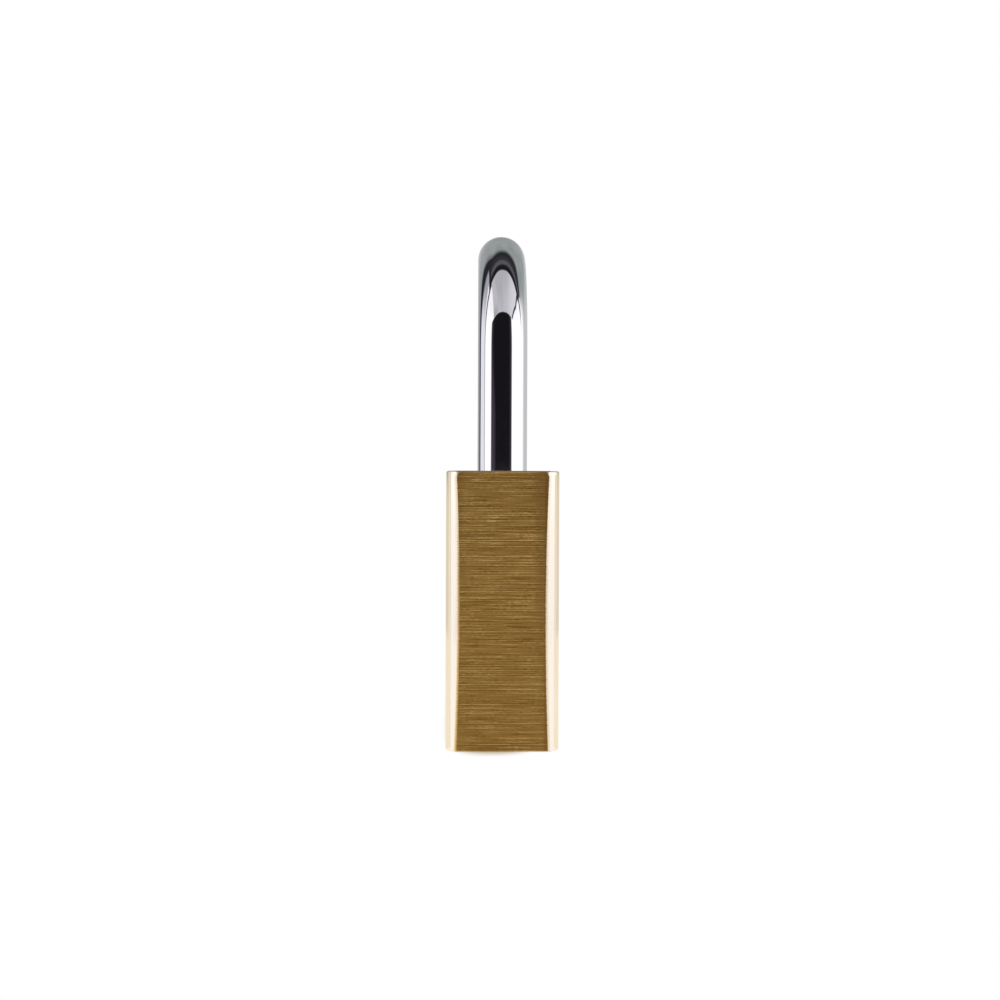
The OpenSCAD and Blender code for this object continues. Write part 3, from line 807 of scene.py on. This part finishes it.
# The seals' own shade, and the chrome's colours
SEAL_TINT = (0.86, 0.76, 0.68)
CHROME = (0.875, 0.88, 0.89)
CHROME_PALE = (0.89, 0.89, 0.9)
CHROME_ROUGH = (0.02, 0.04)
CHROME_DEPTH = 0.0015


def seal_finish(n, place, normal):
    """Seals sanded flush with the narrow face, a shade redder than the body."""
    colour, roughness, height = sanded_brass(n, place)
    return n.mix(1.0, colour, SEAL_TINT, "MULTIPLY"), roughness, height


def chrome_finish(n, place, normal):
    """Mirror chrome with faint polishing marks and a slight waviness."""
    wave = n.noise(place, scale=0.5, detail=2.0)
    polish = n.noise(place, scale=3.0, detail=4.0)
    colour = n.mix(n.ramp(polish, *NOISE_RANGE), CHROME, CHROME_PALE)
    roughness = n.scaled(polish, *NOISE_RANGE, *CHROME_ROUGH)
    return colour, roughness, n.times(wave, CHROME_DEPTH)


# The plain metals inside. Their tone is made of lines and clouds, their roughness changes with the
# clouds, and PLAIN_SEED is the third place of their lines in the noise.
PLAIN_SHARES = (0.7, 0.3)
PLAIN_ROUGHER = (-0.05, 0.07)
PLAIN_DEPTH = 0.01
PLAIN_SEED = 0.3


def plain_metal(dark, light, rough, grain):
    """A turned or drawn finish between two colours, with marks grain per millimetre."""
    roughs = [rough + change for change in PLAIN_ROUGHER]

    def finish(n, place, normal):
        x, y, z = n.parts(place)
        around = n.calc("SQRT", n.plus(n.times(x, x), n.times(y, y)))
        lines_place = n.vector(n.times(around, grain), PLAIN_SEED, n.times(z, grain))
        lines = n.noise(lines_place, detail=3.0)
        cloud = n.noise(place, scale=0.6, detail=2.0)
        tone = n.weighted((lines, cloud), PLAIN_SHARES)
        colour = n.mix(n.ramp(tone, *NOISE_RANGE), dark, light)
        return colour, n.scaled(cloud, *NOISE_RANGE, *roughs), n.times(lines, PLAIN_DEPTH)
    return finish


FINISHES = {
    "body_brass": body_finish,
    "shackle_chrome": chrome_finish,
    "seal_brass": seal_finish,
    "spring_steel": plain_metal((0.36, 0.36, 0.38), (0.6, 0.6, 0.62), rough=0.25, grain=4.0),
    "bolt_steel": plain_metal((0.42, 0.42, 0.43), (0.62, 0.62, 0.63), rough=0.22, grain=3.0),
    "pin_steel": plain_metal((0.36, 0.36, 0.37), (0.52, 0.52, 0.54), rough=0.2, grain=5.0),
    "plug_brass": plain_metal((0.6, 0.43, 0.18), (0.84, 0.66, 0.36), rough=0.24, grain=3.5),
    "cam_brass": plain_metal((0.5, 0.33, 0.14), (0.7, 0.5, 0.24), rough=0.3, grain=3.0),
    "key_pin_brass": plain_metal((0.66, 0.48, 0.2), (0.86, 0.68, 0.38), rough=0.2, grain=5.0),
    "driver_brass": plain_metal((0.58, 0.42, 0.2), (0.78, 0.6, 0.33), rough=0.22, grain=5.0),
}


def dress_nodes():
    """Gives every CAD node the finish of its material slot."""
    made = {slot: metal(slot, finish) for slot, finish in FINISHES.items()}
    for part in frame["record"]["subparts"]:
        frame["nodes"][part["node"]].material_slots[0].material = made[part["material_slot"]]


# The springs: the shackle's pushes it up, and one pushes each row's driver pin along X
X_AXIS, Z_AXIS = 0, 2
PIN_ROWS = range(1, 5)


def make_spring(node, axis):
    """A copy of the CAD spring in its place, which stands in for the hidden CAD spring."""
    cad = frame["nodes"][node]
    coil = bpy.data.objects.new(node + "_coil", cad.data.copy())
    bpy.context.scene.collection.objects.link(coil)
    coil.matrix_world = cad.matrix_world
    start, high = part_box(node)
    end = start.copy()
    end[axis] = high[axis]
    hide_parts(node)
    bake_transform(coil)


make_camera()
make_world()
make_floor()
dress_nodes()
make_spring("shackle_spring", Z_AXIS)
for row in PIN_ROWS:
    make_spring(f"pin_spring_{row}", X_AXIS)
bpy.context.scene.view_settings.view_transform = "Standard"
